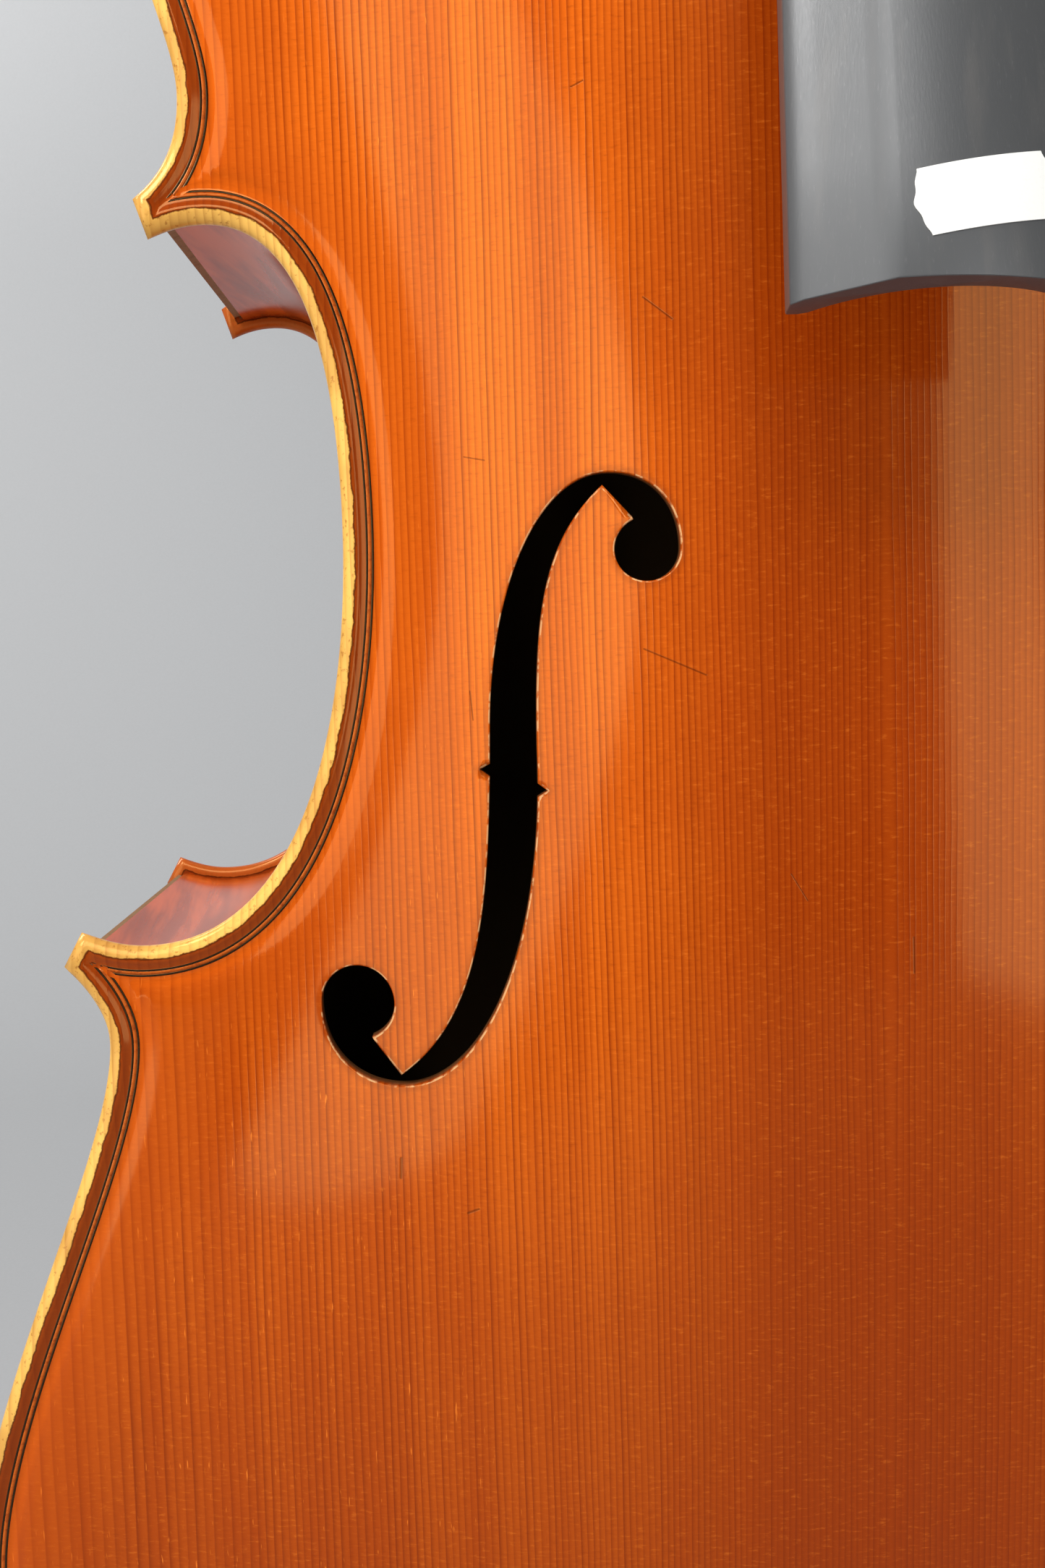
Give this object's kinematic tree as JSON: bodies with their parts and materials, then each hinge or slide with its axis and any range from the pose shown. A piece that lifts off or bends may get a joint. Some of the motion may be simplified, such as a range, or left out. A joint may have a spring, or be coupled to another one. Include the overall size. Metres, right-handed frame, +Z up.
{
  "type": "cello",
  "caption": "Unstrung cello with arched plates, f-shaped sound holes, flat-sided fingerboard, scroll head, turning pegs and a sliding endpin.",
  "frame": {"origin": "point of the endpin with the rod pushed in, on the instrument's middle plane", "axes": "+Z up along the body to the scroll, front plate faces -Y, +X to the treble side"},
  "size_m": [0.434, 0.2329, 1.2724],
  "materials": {
    "spruce_front": "glossy orange-brown oil varnish over straight-grained spruce, worn to yellow at the rim",
    "maple_back": "glossy orange-brown varnish over flamed maple",
    "maple_ribs": "glossy orange-brown varnish over flamed maple",
    "maple_neck": "varnished maple head, oiled neck",
    "purfling": "three-ply strip, black, light, black, under varnish",
    "raw_spruce": "unvarnished spruce and willow",
    "ebony": "oiled and polished ebony",
    "nickel": "polished nickel plate",
    "steel": "drawn steel rod, fine lengthwise lines",
    "label": "blank matt white die-cut sticker"
  },
  "bodies": {
    "cello_body": {"top_plate_bass": "spruce_front", "top_plate_treble": "spruce_front", "back_plate_bass": "maple_back", "back_plate_treble": "maple_back", "top_purfling": "purfling", "back_purfling": "purfling", "rib_upper_bass": "maple_ribs", "rib_upper_treble": "maple_ribs", "rib_centre_bass": "maple_ribs", "rib_centre_treble": "maple_ribs", "rib_lower_bass": "maple_ribs", "rib_lower_treble": "maple_ribs", "neck_block": "raw_spruce", "end_block": "raw_spruce", "corner_block_upper_bass": "raw_spruce", "corner_block_upper_treble": "raw_spruce", "corner_block_lower_bass": "raw_spruce", "corner_block_lower_treble": "raw_spruce", "lining_front_upper_bass": "raw_spruce", "lining_front_upper_treble": "raw_spruce", "lining_front_centre_bass": "raw_spruce", "lining_front_centre_treble": "raw_spruce", "lining_front_lower_bass": "raw_spruce", "lining_front_lower_treble": "raw_spruce", "lining_back_upper_bass": "raw_spruce", "lining_back_upper_treble": "raw_spruce", "lining_back_centre_bass": "raw_spruce", "lining_back_centre_treble": "raw_spruce", "lining_back_lower_bass": "raw_spruce", "lining_back_lower_treble": "raw_spruce", "bass_bar": "raw_spruce", "sound_post": "raw_spruce", "neck": "maple_neck", "fingerboard": "ebony", "nut": "ebony", "saddle": "ebony", "endpin_plug": "ebony", "endpin_ferrule": "nickel", "price_label": "label"},
    "peg_c": {"peg_c": "ebony"},
    "peg_a": {"peg_a": "ebony"},
    "peg_g": {"peg_g": "ebony"},
    "peg_d": {"peg_d": "ebony"},
    "endpin": {"endpin_rod": "steel", "endpin_spike": "steel"},
    "thumbscrew": {"endpin_thumbscrew": "nickel"}
  },
  "joints": [
    {"name": "peg_c_turn", "type": "hinge", "parent": "cello_body", "child": "peg_c", "pos_m": [0, 0.00244, 1.10893], "axis": [1, 0, 0], "continuous": true},
    {"name": "peg_a_turn", "type": "hinge", "parent": "cello_body", "child": "peg_a", "pos_m": [0, 0.0084, 1.13123], "axis": [-1, 0, 0], "continuous": true},
    {"name": "peg_g_turn", "type": "hinge", "parent": "cello_body", "child": "peg_g", "pos_m": [0, 0.01535, 1.15336], "axis": [1, 0, 0], "continuous": true},
    {"name": "peg_d_turn", "type": "hinge", "parent": "cello_body", "child": "peg_d", "pos_m": [0, 0.02311, 1.17433], "axis": [-1, 0, 0], "continuous": true},
    {"name": "endpin_slide", "type": "slide", "parent": "cello_body", "child": "endpin", "axis": [0, 0, -1], "range_m": [0, 0.33]},
    {"name": "thumbscrew_turn", "type": "hinge", "parent": "cello_body", "child": "thumbscrew", "pos_m": [0.02, 0, 0.0405], "axis": [1, 0, 0], "range_deg": [0, 720]}
  ]
}
